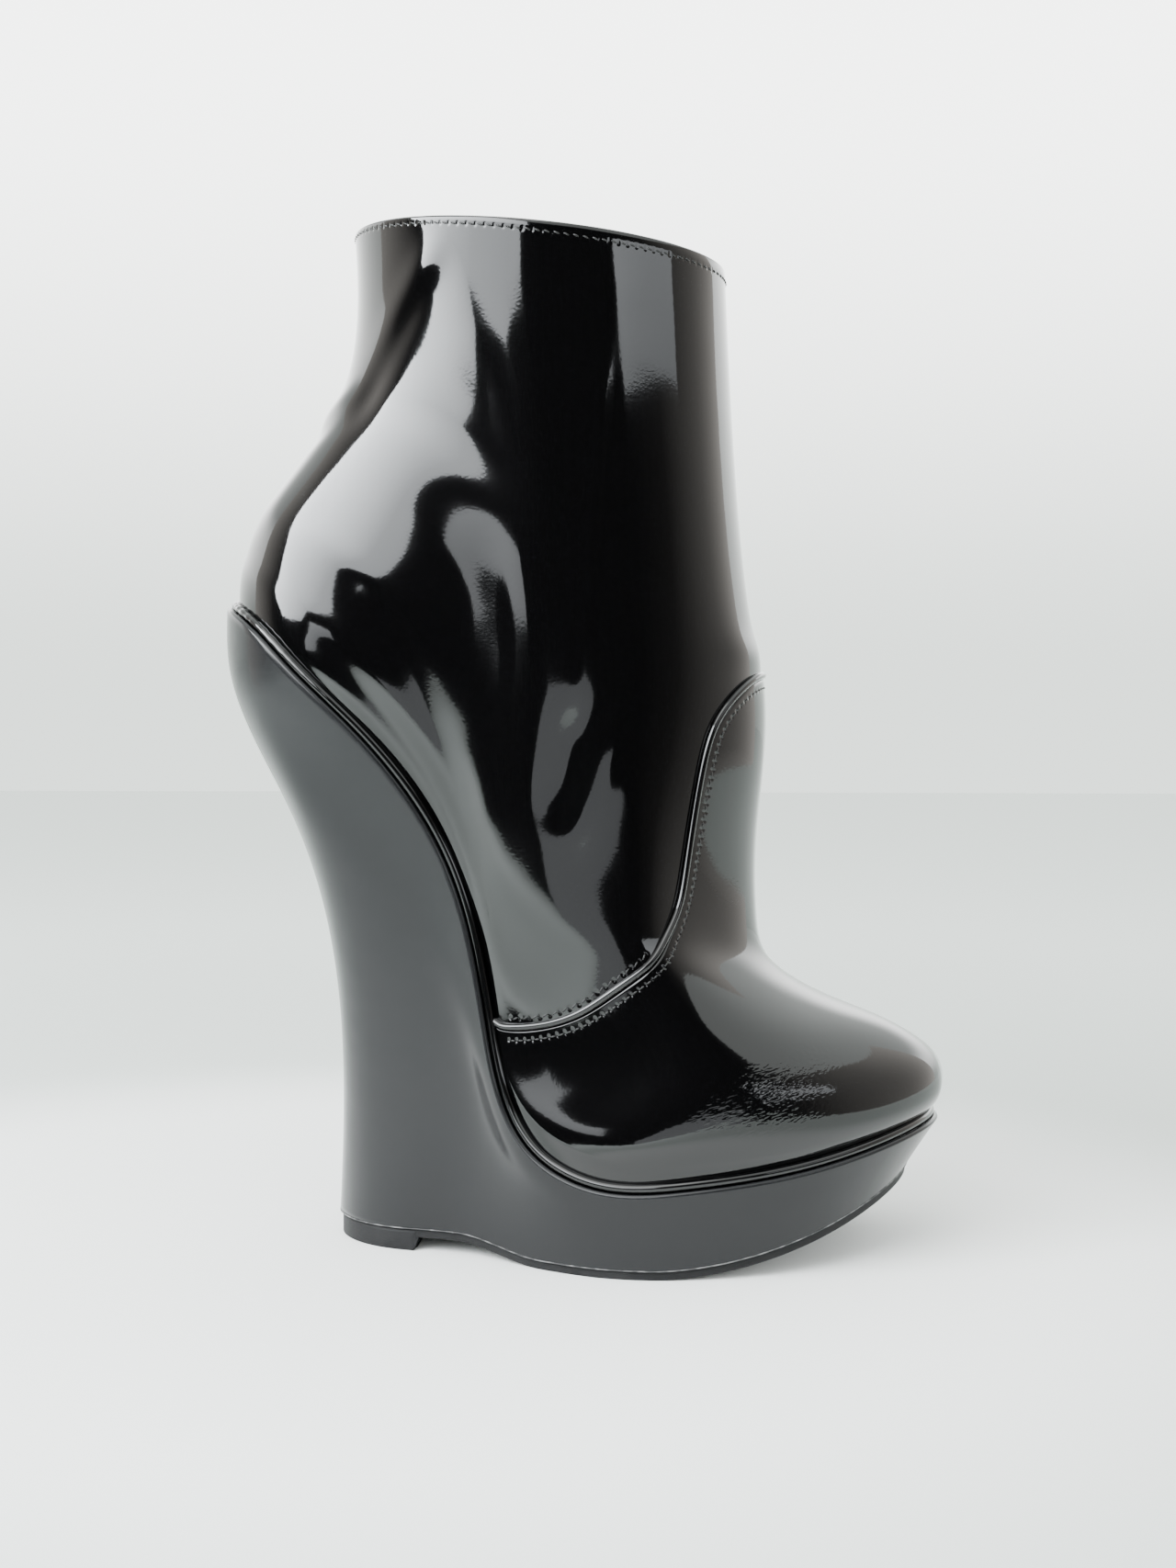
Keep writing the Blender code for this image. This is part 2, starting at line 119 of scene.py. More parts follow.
def footbed_normal(f):
    """Direction square to the footbed in side view: its slope turned by a right angle."""
    d = footbed(np.asarray(f) + 0.002) - footbed(np.asarray(f) - 0.002)
    n = np.stack([-d[..., 1], d[..., 0]], -1)
    return n / np.linalg.norm(n, axis=-1, keepdims=True)


def share(t):
    """Share of the way from heel to toe at angle t around the boot: half of one less the cosine."""
    return (1 - np.cos(t)) / 2


def edge_plan(t):
    """Outline of the footbed laid flat: along it by the share, sideways by the sine times the half-width."""
    f = share(t)
    half, curve = np.moveaxis(spline(footbed_rows[:, 0], footbed_rows[:, [4, 7]], f), -1, 0)
    return np.stack([f * footbed_curve, -np.sin(t) * half * ball_half + curve * swing], -1)


def edge(t, out, up):
    """Footbed's outline moved outward in its own face and up from it, then bent to the side view."""
    p = edge_plan(t)
    d = edge_plan(t + 0.001) - edge_plan(t - 0.001)
    n = np.stack([-d[..., 1], d[..., 0]], -1)
    n = n / np.linalg.norm(n, axis=-1, keepdims=True)
    p = p - n * np.asarray(out)[..., None]
    f = p[..., 0] / footbed_curve
    side = footbed(f) + footbed_normal(f) * np.asarray(up)[..., None]
    return np.stack([side[..., 0], p[..., 1], side[..., 1]], -1)


def around(count):
    """Angles once around the boot, closer together along the steep arch than at heel and toe."""
    t = np.arange(count) * 2 * np.pi / count
    return t + 0.2 * np.sin(2 * t)


def ring_quads(rows, count, closed_rows=False, closed_count=True):
    """Quads of a grid whose rows hold count points each: corners i and i + 1 of a row with those of the
    next."""
    k = np.arange(rows if closed_rows else rows - 1)[:, None]
    i = np.arange(count if closed_count else count - 1)[None, :]
    below = k * count
    above = (k + 1) % rows * count
    step = (i + 1) % count
    return np.stack([below + i, below + step, above + step, above + i], -1).reshape(-1, 4)


def cap(start, count, up):
    """Faces across a loop from each point to the one opposite: two triangles at the ends, quads between."""
    i = np.arange(1, count // 2 - 1)
    quads = np.stack([start + i, start + count - i, start + count - i - 1, start + i + 1], -1)
    half = start + count // 2
    tris = np.array([[start, start + count - 1, start + 1], [half - 1, half + 1, half]])
    return (quads[:, ::-1], tris[:, ::-1]) if up else (quads, tris)


def make_piece(name, points, quads, tris, material):
    """Mesh at the origin from a list of points with four- and three-cornered faces, shaded smooth, which
    moves with the boot."""
    points = np.asarray(points, np.float32).reshape(-1, 3)
    tris = np.zeros((0, 3), int) if tris is None else tris
    mesh = bpy.data.meshes.new(name)
    mesh.vertices.add(len(points))
    mesh.vertices.foreach_set("co", points.ravel())
    corners = np.concatenate([quads.ravel(), tris.ravel()]).astype(np.int32)
    starts = np.concatenate([np.arange(len(quads)) * 4, len(quads) * 4 + np.arange(len(tris)) * 3])
    mesh.loops.add(len(corners))
    mesh.loops.foreach_set("vertex_index", corners)
    mesh.polygons.add(len(starts))
    mesh.polygons.foreach_set("loop_start", starts.astype(np.int32))
    mesh.polygons.foreach_set("use_smooth", np.ones(len(starts), bool))
    mesh.update(calc_edges=True)
    mesh.materials.append(material)
    piece = bpy.data.objects.new(name, mesh)
    bpy.context.scene.collection.objects.link(piece)
    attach(piece, "root")
    return piece


def shader_of(name, colour, roughness):
    """Material with one Principled shader of that colour and roughness: returned with its nodes and
    links."""
    material = bpy.data.materials.new(name)
    material.use_nodes = True
    nodes = material.node_tree.nodes
    shader = nodes["Principled BSDF"]
    shader.inputs["Base Color"].default_value = (*colour, 1.0)
    shader.inputs["Roughness"].default_value = roughness
    return material, shader, nodes, material.node_tree.links


def noise(nodes, links, scale, detail, stretch=(1.0, 1.0, 1.0), turn=0.0):
    """Noise texture on Object coordinates, turned in side view by degrees, then stretched along the axes,
    with scale in waves per metre."""
    place = nodes.new("ShaderNodeTexCoord")
    turned = nodes.new("ShaderNodeMapping")
    turned.inputs["Rotation"].default_value = (0.0, np.radians(turn), 0.0)
    mapping = nodes.new("ShaderNodeMapping")
    mapping.inputs["Scale"].default_value = stretch
    texture = nodes.new("ShaderNodeTexNoise")
    texture.inputs["Scale"].default_value = scale
    texture.inputs["Detail"].default_value = detail
    links.new(place.outputs["Object"], turned.inputs["Vector"])
    links.new(turned.outputs["Vector"], mapping.inputs["Vector"])
    links.new(mapping.outputs["Vector"], texture.inputs["Vector"])
    return texture


def bump(nodes, links, height, depth, strength, after=None):
    """Bump of that depth in metres from a height socket, laid over an earlier one."""
    node = nodes.new("ShaderNodeBump")
    node.inputs["Distance"].default_value = depth
    node.inputs["Strength"].default_value = strength
    links.new(height, node.inputs["Height"])
    if after is not None:
        links.new(after.outputs["Normal"], node.inputs["Normal"])
    return node


def lining_leather():
    """Smooth black lining leather: fine pores as bump, a dull sheen, and roughness that varies a little."""
    material, shader, nodes, links = shader_of("lining leather", (0.018, 0.017, 0.017), 0.55)
    pores = noise(nodes, links, 2600.0, 3.0)
    hide = noise(nodes, links, 60.0, 4.0)
    fine = bump(nodes, links, pores.outputs["Fac"], 0.00005, 0.5)
    soft = bump(nodes, links, hide.outputs["Fac"], 0.0006, 0.25, fine)
    links.new(soft.outputs["Normal"], shader.inputs["Normal"])
    spread = nodes.new("ShaderNodeMapRange")
    spread.inputs["To Min"].default_value = 0.42
    spread.inputs["To Max"].default_value = 0.62
    links.new(hide.outputs["Fac"], spread.inputs["Value"])
    links.new(spread.outputs["Result"], shader.inputs["Roughness"])
    return material


lining_material = lining_leather()
insole_count = 200
insole_in = wall + 2 * gap
insole_turn = np.radians([0, 30, 60, 90])
t = around(insole_count)
loops = [edge(t, -insole_in - 0.0004, gap)]
loops += [edge(t, -insole_in - 0.0006 * (1 - np.cos(a)), gap + insole_thick - 0.0006 * (1 - np.sin(a)))
          for a in insole_turn]
loops += [edge(t, -insole_in - d, gap + insole_thick) for d in (0.002, 0.006)]
bottom_quads, bottom_tris = cap(0, insole_count, False)
top_quads, top_tris = cap((len(loops) - 1) * insole_count, insole_count, True)
insole = make_piece("sock_insole", np.concatenate(loops),
                    np.concatenate([ring_quads(len(loops), insole_count), bottom_quads, top_quads]),
                    np.concatenate([bottom_tris, top_tris]), lining_material)
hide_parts("insole")


# Shaft: one panel of black patent leather, a soft base under a clear gloss film, closed to a tube over the
# last and turned over at the collar. It is pulled smooth, with soft folds behind the ankle and at the instep.
collar_height = 0.2577
collar_drop = 0.0097
collar_lean = 0.0306
collar_length = 0.0954
collar_half = 0.0385
leather = 0.0010

# v: row from the sole's edge up to the collar, back and front: where the row meets the middle line as shares
# of the way up, lead: forward shift of its side points, then its fullness from back to tip and the swing
upper_stations = [0.0, 0.1, 0.35, 0.5, 0.7, 0.9, 1.0]
upper_rows = np.array([
    # v    back_x back_z front_x front_z lead   back  heel  waist mid   ball  toe   tip   swing
    (0.000, 0.000, 0.000, 0.000, 0.000, 0.000, 1.30, 1.06, 0.69, 0.71, 1.10, 1.31, 1.24, 1.0),
    (0.020, 0.000, 0.029, -0.062, 0.014, 0.015, 1.30, 1.06, 0.69, 0.72, 1.11, 1.31, 1.23, 1.0),
    (0.050, 0.003, 0.062, -0.115, 0.031, 0.040, 1.29, 1.07, 0.70, 0.74, 1.14, 1.31, 1.20, 1.0),
    (0.085, 0.020, 0.106, -0.108, 0.062, 0.070, 1.28, 1.08, 0.71, 0.77, 1.13, 1.26, 1.11, 1.0),
    (0.130, 0.059, 0.147, 0.035, 0.095, 0.100, 1.26, 1.09, 0.73, 0.80, 1.09, 1.16, 1.00, 0.9),
    (0.205, 0.118, 0.204, 0.320, 0.125, 0.140, 1.24, 1.09, 0.76, 0.84, 1.02, 1.02, 0.88, 0.8),
    (0.285, 0.212, 0.267, 0.620, 0.156, 0.160, 1.22, 1.09, 0.80, 0.87, 0.96, 0.89, 0.80, 0.6),
    (0.330, 0.278, 0.298, 0.782, 0.186, 0.160, 1.20, 1.09, 0.82, 0.88, 0.94, 0.85, 0.79, 0.5),
    (0.385, 0.376, 0.337, 0.843, 0.235, 0.155, 1.19, 1.08, 0.85, 0.89, 0.92, 0.84, 0.80, 0.4),
    (0.500, 0.598, 0.429, 0.842, 0.345, 0.130, 1.15, 1.06, 0.90, 0.92, 0.90, 0.86, 0.84, 0.2),
    (0.650, 0.824, 0.550, 0.806, 0.508, 0.080, 1.09, 1.03, 0.95, 0.95, 0.92, 0.90, 0.88, 0.1),
    (0.720, 0.925, 0.619, 0.868, 0.593, 0.060, 1.06, 1.01, 0.96, 0.96, 0.93, 0.92, 0.91, 0.0),
    (0.820, 1.006, 0.750, 0.938, 0.740, 0.030, 1.03, 1.00, 0.98, 0.97, 0.95, 0.95, 0.94, 0.0),
    (1.000, 1.000, 1.000, 1.000, 1.000, 0.000, 1.00, 1.00, 1.00, 1.00, 1.00, 1.00, 1.00, 0.0),
])


def last_skin(t, v):
    """Smooth skin over the last at angle t and row v. Side view: the rows between footbed and collar plus the
    columns between back and front line, less what both share. Half-width: an ellipse times its fullness."""
    t, v = np.broadcast_arrays(t, v)
    f = share(t)
    rows = spline(upper_rows[:, 0], upper_rows[:, 1:], v)
    back_x, back_z, front_x, front_z, lead = np.moveaxis(rows[..., :5], -1, 0)
    g = (f + lead * np.sin(np.pi * f) ** 2)[..., None]
    collar_back = np.array([seat_x + collar_lean, collar_height])
    collar_front = collar_back + np.array([collar_length, -collar_drop])
    seat = footbed(0.0)
    toe = footbed(1.0)
    back = seat + (collar_back - seat) * np.stack([back_x, back_z], -1)
    front = toe + (collar_front - toe) * np.stack([front_x, front_z], -1)
    w = v[..., None]
    low = footbed(g[..., 0]) + footbed_normal(g[..., 0]) * gap
    top = collar_back + (collar_front - collar_back) * g
    b = g ** 3
    corners = (1 - w) * ((1 - b) * seat + b * toe) + w * ((1 - b) * collar_back + b * collar_front)
    side = (1 - w) * low + w * top + (1 - b) * back + b * front - corners
    station = spline(upper_stations, np.eye(7), f)
    full = np.sum(rows[..., 5:12] * station, -1) * (ball_half + (collar_half - ball_half) * v)
    half = spline(footbed_rows[:, 0], footbed_rows[:, 4], f)[..., 0]
    first = np.sum(upper_rows[0, 6:13] * station, -1)
    full = full + (half - first) * ball_half * (1 - v) ** 6
    middle = spline(footbed_rows[:, 0], footbed_rows[:, 7], f)[..., 0] * swing * rows[..., 12]
    return np.stack([side[..., 0], -np.sin(t) * full + middle, side[..., 1]], -1)


def last_normal(t, v):
    """Outward direction of the skin: the way around crossed with the way up."""
    along = last_skin(t + 0.004, v) - last_skin(t - 0.004, v)
    rise = last_skin(t, v + 0.002) - last_skin(t, v - 0.002)
    n = np.cross(along, rise)
    return n / np.linalg.norm(n, axis=-1, keepdims=True)


# Folds: x, y, z of the middle, slope of its line in side view, reach along it, half-width, height
folds = np.array([
    # x       y       z      slope   reach   half    height
    (-0.004, 0.000, 0.2070, 10.0, 0.0160, 0.0030, -0.0010),
    (-0.006, 0.000, 0.2135, 18.0, 0.0170, 0.0035, 0.0008),
    (0.006, -0.024, 0.2240, 58.0, 0.0190, 0.0035, -0.0009),
    (0.010, -0.028, 0.2330, 62.0, 0.0180, 0.0045, 0.0008),
    (0.006, 0.024, 0.2230, 55.0, 0.0180, 0.0040, -0.0008),
    (0.100, 0.000, 0.1500, 2.0, 0.0220, 0.0050, 0.0007),
    (0.057, -0.036, 0.1750, 86.0, 0.0420, 0.0018, 0.0004),
    (0.051, -0.033, 0.1225, 80.0, 0.0140, 0.0045, -0.0008),
    (0.058, -0.033, 0.1180, 78.0, 0.0170, 0.0045, 0.0006),
])


def fold_height(p):
    """Height of all folds at points p: for each, a bell across its line and a flat-topped bell along it."""
    height = np.zeros(p.shape[:-1])
    for x, y, z, slope, reach, half, depth in folds:
        d = p - np.array([x, y, z])
        a = np.radians(slope)
        across = -d[..., 0] * np.sin(a) + d[..., 2] * np.cos(a)
        far = np.sum(d ** 2, -1)
        height += depth * np.exp(-(across / half) ** 2) * np.exp(-(far / reach ** 2) ** 2)
    return height


search_batches = 24


def stitch_place(points, path, pitch, reach=0.006):
    """Where each point lies by a seam, as stitches counted from the path's start and distance from it: by
    the nearest point of the path, plus the way along its direction. Points out of reach get a metre."""
    flat = points.reshape(-1, 3)
    steps = np.concatenate([[0], np.cumsum(np.linalg.norm(np.diff(path, axis=0), axis=1))])
    ahead = np.gradient(path, axis=0)
    ahead = ahead / np.linalg.norm(ahead, axis=1, keepdims=True)
    place = np.tile([0.0, 1.0, 0.0], (len(flat), 1))
    coarse = path[::16]
    rough = np.min(np.linalg.norm(flat[:, None] - coarse[None], axis=2), axis=1)
    for close in np.array_split(np.flatnonzero(rough < 2 * reach), search_batches):
        apart = flat[close][:, None] - path[None]
        far = np.linalg.norm(apart, axis=2)
        best = np.argmin(far, axis=1)
        row = np.arange(len(close))
        along = np.sum(apart[row, best] * ahead[best], axis=1)
        away = np.sqrt(np.clip(far[row, best] ** 2 - along ** 2, 0, None))
        away = np.where((best == 0) | (best == len(path) - 1), far[row, best], away)
        place[close, 0] = (steps[best] + along) / pitch
        place[close, 1] = np.where(away < reach, away, 1.0)
    return place


def nearest_seam(places):
    """Of several seams' places, the one that is nearest at each point."""
    best = np.argmin([place[:, 1] for place in places], axis=0)
    return np.stack(places)[best, np.arange(len(best))]


def set_attribute(piece, name, kind, values):
    """Values per point of a piece's mesh, for its material to read: one number or three each."""
    data = piece.data.attributes.new(name, kind, "POINT").data
    data.foreach_set("vector" if kind == "FLOAT_VECTOR" else "value", np.asarray(values, np.float32).ravel())


hole_sharpness = 4.0
hole_reach = 0.00050
hole_depth = 0.00011


def add_puckers(nodes, links, after):
    """Dimple at every needle hole: a sharpened cosine along the seam times a bell across it, pressed in."""
    seam = nodes.new("ShaderNodeAttribute")
    seam.attribute_name = "seam"
    parts = nodes.new("ShaderNodeSeparateXYZ")
    links.new(seam.outputs["Vector"], parts.inputs["Vector"])

    def math(operation, first, second=None):
        """One step of the formula: the operation on a socket, alone or with a number or a second socket."""
        node = nodes.new("ShaderNodeMath")
        node.operation = operation
        links.new(first, node.inputs[0])
        if isinstance(second, float):
            node.inputs[1].default_value = second
        elif second is not None:
            links.new(second, node.inputs[1])
        return node.outputs["Value"]

    wave = math("COSINE", math("MULTIPLY", parts.outputs["X"], 2 * np.pi))
    hole = math("POWER", math("ADD", math("MULTIPLY", wave, 0.5), 0.5), hole_sharpness)
    across = math("MULTIPLY", parts.outputs["Y"], 1 / hole_reach)
    bell = math("EXPONENT", math("MULTIPLY", math("POWER", across, 2.0), -1.0))
    depth = math("MULTIPLY", math("MULTIPLY", hole, bell), -1.0)
    return bump(nodes, links, depth, hole_depth, 1.0, after)


crease_depth = 0.00016


def add_crinkles(nodes, links, after):
    """Fine creases where the toes bend: noise drawn out along the crease, as strong as the mask says."""
    mask = nodes.new("ShaderNodeAttribute")
    mask.attribute_name = "crinkle"
    crease = noise(nodes, links, 1500.0, 1.0, (0.32, 0.6, 1.0), 18.0)
    height = nodes.new("ShaderNodeMath")
    height.operation = "MULTIPLY"
    links.new(crease.outputs["Fac"], height.inputs[0])
    links.new(mask.outputs["Fac"], height.inputs[1])
    return bump(nodes, links, height.outputs["Value"], crease_depth, 1.0, after)


def patent_leather(name, waviness, roughness, extras=()):
    """Black patent leather: clear film over black, as a coat over a glossy base. The film follows the hide's
    slow waves and, finer, its grain, which shows only where a reflection ends. extras add finer reliefs."""
    material, shader, nodes, links = shader_of(name, (0.0006, 0.0006, 0.0007), roughness)
    shader.inputs["IOR"].default_value = 1.42
    shader.inputs["Coat Weight"].default_value = 0.35
    shader.inputs["Coat Roughness"].default_value = 0.02
    shader.inputs["Coat IOR"].default_value = 1.5
    grain = noise(nodes, links, 1400.0, 2.0)
    ripple = noise(nodes, links, 45.0, 1.0)
    fine = bump(nodes, links, grain.outputs["Fac"], 0.00001, 0.35)
    soft = bump(nodes, links, ripple.outputs["Fac"], waviness, 1.0, fine)
    for add in extras:
        soft = add(nodes, links, soft)
    links.new(soft.outputs["Normal"], shader.inputs["Normal"])
    links.new(soft.outputs["Normal"], shader.inputs["Coat Normal"])
    return material


shaft_material = patent_leather("patent leather of the shaft", 0.00012, 0.06, (add_puckers,))


def wall_piece(name, outer, inner, rim, material):
    """Tube wall as one closed grid: up its outer face, over the rim, down its inner face and back along the
    lower edge. outer and inner are rows from the bottom up, rim rows run from the outer top to the inner."""
    rows = list(outer) + list(rim) + list(inner)[::-1]
    count = len(rows[0])
    return make_piece(name, np.concatenate(rows), ring_quads(len(rows), count, closed_rows=True), None,
                      material)


shaft_count = 300
rim_radius = leather / 2 + 0.0002
t = around(shaft_count)
v_out = np.concatenate([[0.0, 0.004], np.linspace(0.012, 0.992, 250)])
outer = []
for v in v_out:
    p = last_skin(t, v)
    outer.append(p + last_normal(t, v) * (fold_height(p) * np.clip(v / 0.1, 0, 1))[:, None])
outer[0] = edge(t, 0.0, gap)
inner = [last_skin(t, v) - last_normal(t, v) * leather for v in np.linspace(0.0, 0.985, 40)]
inner[0] = edge(t, -leather, gap)
top = last_skin(t, 1.0)
top_out = last_normal(t, 1.0)
top_up = np.array([0.0, 0.0, 1.0])
rim = [top - top_out * (rim_radius - rim_radius * np.cos(a)) + top_up * (rim_radius * (np.sin(a) - 1))
       for a in np.radians([15, 40, 65, 90, 115, 140, 165])]
shaft_points = np.concatenate(list(outer) + list(rim) + list(inner)[::-1])
shaft = wall_piece("shaft", outer, inner, rim, shaft_material)
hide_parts("upper")


# Lining: thin black leather glued inside the shaft, stitched to it along the collar and tucked under the
# insole. It stops a millimetre below the turned edge.
lining_count = 180
t = around(lining_count)
lining_v = np.linspace(0.0, 0.988, 90)
lining_out = [last_skin(t, v) - last_normal(t, v) * (leather + 0.0001) for v in lining_v]
lining_in = [last_skin(t, v) - last_normal(t, v) * wall for v in lining_v]
lining_out[0] = edge(t, -leather - 0.0001, gap)
lining_in[0] = edge(t, -wall, gap)
wall_piece("lining", lining_out, lining_in, [], lining_material)


# Vamp: a second panel of the same patent leather over the toe and instep, its edge turned under and stitched
# over the shaft. Its line climbs from the sole along the arch and steps up beside the instep.
vamp_step = 0.0007
vamp_turn = 0.0011
vamp_rows = np.array([
    # s    f      v
    (0.00, 0.497, 0.000),
    (0.10, 0.511, 0.112),
    (0.20, 0.563, 0.217),
    (0.33, 0.672, 0.292),
    (0.44, 0.774, 0.352),
    (0.55, 0.818, 0.412),
    (0.68, 0.850, 0.512),
    (0.80, 0.886, 0.590),
    (0.88, 0.938, 0.629),
    (1.00, 1.000, 0.659),
])


def vamp_line(s):
    """Vamp's edge: angle t around the boot and row v, for s from 0 at the sole of the outer side over 1 at
    the instep to 2 at the sole of the inner side, which mirrors the outer."""
    f, v = np.moveaxis(spline(vamp_rows[:, 0], vamp_rows[:, 1:], 1 - np.abs(1 - s)), -1, 0)
    t = np.arccos(np.clip(1 - 2 * f, -1, 1))
    return np.where(s > 1, 2 * np.pi - t, t), v


def panel(name, outer, inner, material):
    """Closed plate from two grids of rows with equal counts, the outer face and the one under it: both faces,
    the band along their first and last rows, and a strip down each end."""
    rows = list(outer) + list(inner)[::-1]
    count = len(rows[0])
    n = len(outer)
    quads = ring_quads(len(rows), count, closed_rows=True, closed_count=False)
    k = np.arange(n - 1)
    first = np.stack([k, k + 1, 2 * n - 2 - k, 2 * n - 1 - k], -1) * count
    last = first[:, ::-1] + count - 1
    return make_piece(name, np.concatenate(rows), np.concatenate([quads, first, last]), None, material)


vamp_count = 241
s = 1 + np.linspace(-0.985, 0.985, vamp_count)
t, top_v = vamp_line(s)
share_up = np.concatenate([np.linspace(0, 0.94, 150), 1 - 0.06 * np.linspace(1, 0, 22)[1:] ** 1.5])
outer = []
inner = []
end = last_skin(t, top_v)
for r in share_up:
    p = last_skin(t, top_v * r)
    n = last_normal(t, top_v * r)
    to_edge = np.linalg.norm(p - end, axis=1)
    turned = np.clip(1 - to_edge / vamp_turn, 0, 1)
    lift = vamp_step * np.sqrt(np.clip(1 - turned ** 2, 0, 1)) * np.clip(top_v * r / 0.03, 0.15, 1)
    height = lift + fold_height(p)
    outer.append(p + n * height[:, None])
    inner.append(p - n * 0.0003)
vamp_material = patent_leather("patent leather of the vamp", 0.00012, 0.06, (add_puckers, add_crinkles))
vamp = panel("vamp", outer, inner, vamp_material)

# Where the toes bend: x and z of the middle, reach along and up, strength
crinkle_spots = np.array([
    (0.098, 0.0425, 0.0150, 0.0062, 1.00),
    (0.107, 0.0500, 0.0090, 0.0045, 0.40),
])
vamp_points = np.concatenate(outer + inner[::-1])
crinkle = np.zeros(len(vamp_points))
for x, z, along, up, strength in crinkle_spots:
    far = ((vamp_points[:, 0] - x) / along) ** 2 + ((vamp_points[:, 2] - z) / up) ** 2
    crinkle = np.maximum(crinkle, strength * np.exp(-far ** 1.5))
set_attribute(vamp, "crinkle", "FLOAT", crinkle)


# Vamp cord: a thin cord in a strip of patent leather, sewn between vamp and shaft so that its round edge
# shows along the whole line.
vamp_radius = 0.0009
cord_sides = 14
cord_tip = 0.4


def cord_rings(centre, up, side, radius, sides):
    """Round cord along a path: rings of equal angles from the two directions square to it."""
    a = (np.arange(sides) + 0.5) * 2 * np.pi / sides
    ring = np.cos(a)[:, None, None] * up + np.sin(a)[:, None, None] * side
    return np.moveaxis(centre + radius * ring, 0, 1)


def unit(d):
    """Directions of length one."""
    return d / np.linalg.norm(d, axis=-1, keepdims=True)


vamp_cord_steps = 520
s = 1 + np.linspace(-0.985, 0.985, vamp_cord_steps)
t, v = vamp_line(s)
foot = last_skin(t, v)
up = last_normal(t, v)
side = unit(np.cross(up, unit(np.gradient(foot, axis=0))))
centre = foot + up * (vamp_radius * 0.75) + side * (vamp_radius * 0.95)
rings = cord_rings(centre, up, -side, vamp_radius, cord_sides)
ahead = unit(np.diff(centre, axis=0))
start_ring = centre[0] - ahead[0] * vamp_radius / 2 + (rings[0] - centre[0]) * cord_tip
end_ring = centre[-1] + ahead[-1] * vamp_radius / 2 + (rings[-1] - centre[-1]) * cord_tip
loops = [start_ring, *rings, end_ring]
piping_material = patent_leather("patent leather strip", 0.00005, 0.10)
start_quads, start_tris = cap(0, cord_sides, False)
end_quads, end_tris = cap((len(loops) - 1) * cord_sides, cord_sides, True)
vamp_cord = make_piece("vamp_cord", np.concatenate(loops),
                       np.concatenate([ring_quads(len(loops), cord_sides), start_quads, end_quads]),
                       np.concatenate([start_tris, end_tris]), piping_material)
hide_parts("vamp_piping")


# Stitches: black thread along both sides of the vamp's edge and below the collar. Each stitch is a short
# bowed piece of thread whose ends dive into their holes.
thread_radius = 0.00022
thread_sides = 6
thread_rings = 7


def thread_material_of():
    """Waxed black thread: twisted fibres as fine bump, with a soft sheen."""
    material, shader, nodes, links = shader_of("black thread", (0.004, 0.004, 0.004), 0.45)
    twist = noise(nodes, links, 6000.0, 1.0, (1.0, 1.0, 2.5))
    fine = bump(nodes, links, twist.outputs["Fac"], 0.00008, 0.6)
    links.new(fine.outputs["Normal"], shader.inputs["Normal"])
    return material


def stitches(name, path, up, pitch, length, slant, lift):
    """Stitches along a path: at every pitch a thin round thread, bowed up by a parabola and turned by the
    slant in the leather's face."""
    steps = np.concatenate([[0], np.cumsum(np.linalg.norm(np.diff(path, axis=0), axis=1))])
    at = np.arange(pitch / 2, steps[-1], pitch)
    middle = np.stack([np.interp(at, steps, path[:, k]) for k in range(3)], -1)
    lifted = unit(np.stack([np.interp(at, steps, up[:, k]) for k in range(3)], -1))
    ahead = np.stack([np.interp(at + 0.0005, steps, path[:, k]) for k in range(3)], -1)
    behind = np.stack([np.interp(at - 0.0005, steps, path[:, k]) for k in range(3)], -1)
    along = unit(ahead - behind)
    beside = unit(np.cross(lifted, along))
    a = np.radians(slant)
    run = along * np.cos(a) + beside * np.sin(a)
    width = -along * np.sin(a) + beside * np.cos(a)
    stations = np.linspace(-1, 1, thread_rings)
    thick = thread_radius * np.array([0.25, 0.85, 1, 1, 1, 0.85, 0.25])
    angle = np.arange(thread_sides) * 2 * np.pi / thread_sides
    bow = lift * (1 - stations ** 2) - thread_radius
    local_run = np.repeat(stations * length / 2, thread_sides)
    local_side = (thick[:, None] * np.cos(angle)).ravel()
    local_up = (bow[:, None] + thick[:, None] * np.sin(angle)).ravel()
    points = (middle[:, None] + run[:, None] * local_run[:, None] + width[:, None] * local_side[:, None]
              + lifted[:, None] * local_up[:, None])
    quads = ring_quads(thread_rings, thread_sides)
    first_quads, first_tris = cap(0, thread_sides, False)
    last_quads, last_tris = cap((thread_rings - 1) * thread_sides, thread_sides, True)
    quads = np.concatenate([quads, first_quads, last_quads])[:, ::-1]
    tris = np.concatenate([first_tris, last_tris])[:, ::-1]
    shift = (np.arange(len(at)) * thread_rings * thread_sides)[:, None, None]
    make_piece(name, points, (quads[None] + shift).reshape(-1, 4), (tris[None] + shift).reshape(-1, 3),
               thread_material)


thread_material = thread_material_of()
seam_count = 700
s = 1 + np.linspace(-0.93, 0.93, seam_count)
t, v = vamp_line(s)
foot = last_skin(t, v)
up = last_normal(t, v)
side = unit(np.cross(up, unit(np.gradient(foot, axis=0))))
vamp_pitch = 0.0021
vamp_seam = foot - side * 0.0024 + up * vamp_step
stitches("vamp_stitches", vamp_seam, up, vamp_pitch, 0.0015, 0.0, 0.00022)
set_attribute(vamp, "seam", "FLOAT_VECTOR", stitch_place(vamp_points, vamp_seam, vamp_pitch))

# On the shaft's side the stitches end where the vamp's edge turns up beside the instep
shaft_pitch = 0.0026
shaft_run = 106
shaft_seam = foot + side * 0.0029
seam_places = []
for name, run, slant in (("outer", slice(0, shaft_run), 22.0),
                         ("inner", slice(seam_count - shaft_run, seam_count), -22.0)):
    stitches("shaft_stitches_" + name, shaft_seam[run], up[run], shaft_pitch, 0.0019, slant, 0.00025)
    seam_places.append(stitch_place(shaft_points, shaft_seam[run], shaft_pitch))

